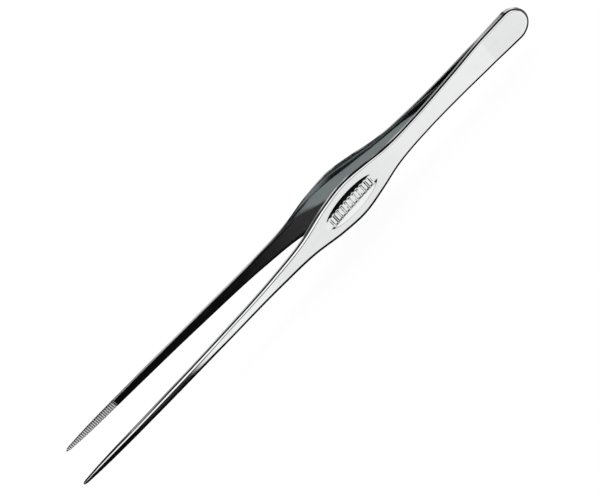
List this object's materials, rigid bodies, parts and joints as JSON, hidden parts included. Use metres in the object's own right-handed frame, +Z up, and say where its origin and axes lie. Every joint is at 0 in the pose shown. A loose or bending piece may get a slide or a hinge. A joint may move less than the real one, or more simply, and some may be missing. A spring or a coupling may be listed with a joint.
{
  "type": "print tongs",
  "caption": "Long straight steel tweezer tongs: two bowed leaves joined at a rounded head, with wide dished finger grips and slim serrated tips that spring open.",
  "frame": {"origin": "under the middle of the bounding box, at the lowest edges of the finger grips, on which the tongs lie", "axes": "+X along the length towards the joined head, tips at -X; +Y is the direction in which the jaws open, the far leaf at +Y; +Z up, across the width of the leaves"},
  "size_m": [0.27, 0.0294, 0.0192],
  "materials": {
    "leaf_steel": "mirror-polished stainless steel strip with softly rounded edges",
    "weld_steel": "remelted steel of the spot welds, unpolished, hidden between the leaves"
  },
  "bodies": {
    "head": {"near_leaf_heel": "leaf_steel", "far_leaf_heel": "leaf_steel", "spot_weld_1": "weld_steel", "spot_weld_2": "weld_steel", "spot_weld_3": "weld_steel"},
    "near_arm": {"near_leaf_arm": "leaf_steel"},
    "far_arm": {"far_leaf_arm": "leaf_steel"}
  },
  "joints": [
    {"name": "near_leaf_bend", "type": "hinge", "parent": "head", "child": "near_arm", "pos_m": [0.086, -0.00251, 0.0096], "axis": [0, 0, -1], "range_deg": [0, 3.55], "stiffness_Nm_per_rad": 6},
    {"name": "far_leaf_bend", "type": "hinge", "parent": "head", "child": "far_arm", "pos_m": [0.086, 0.00251, 0.0096], "axis": [0, 0, 1], "range_deg": [0, 3.55], "stiffness_Nm_per_rad": 6}
  ]
}
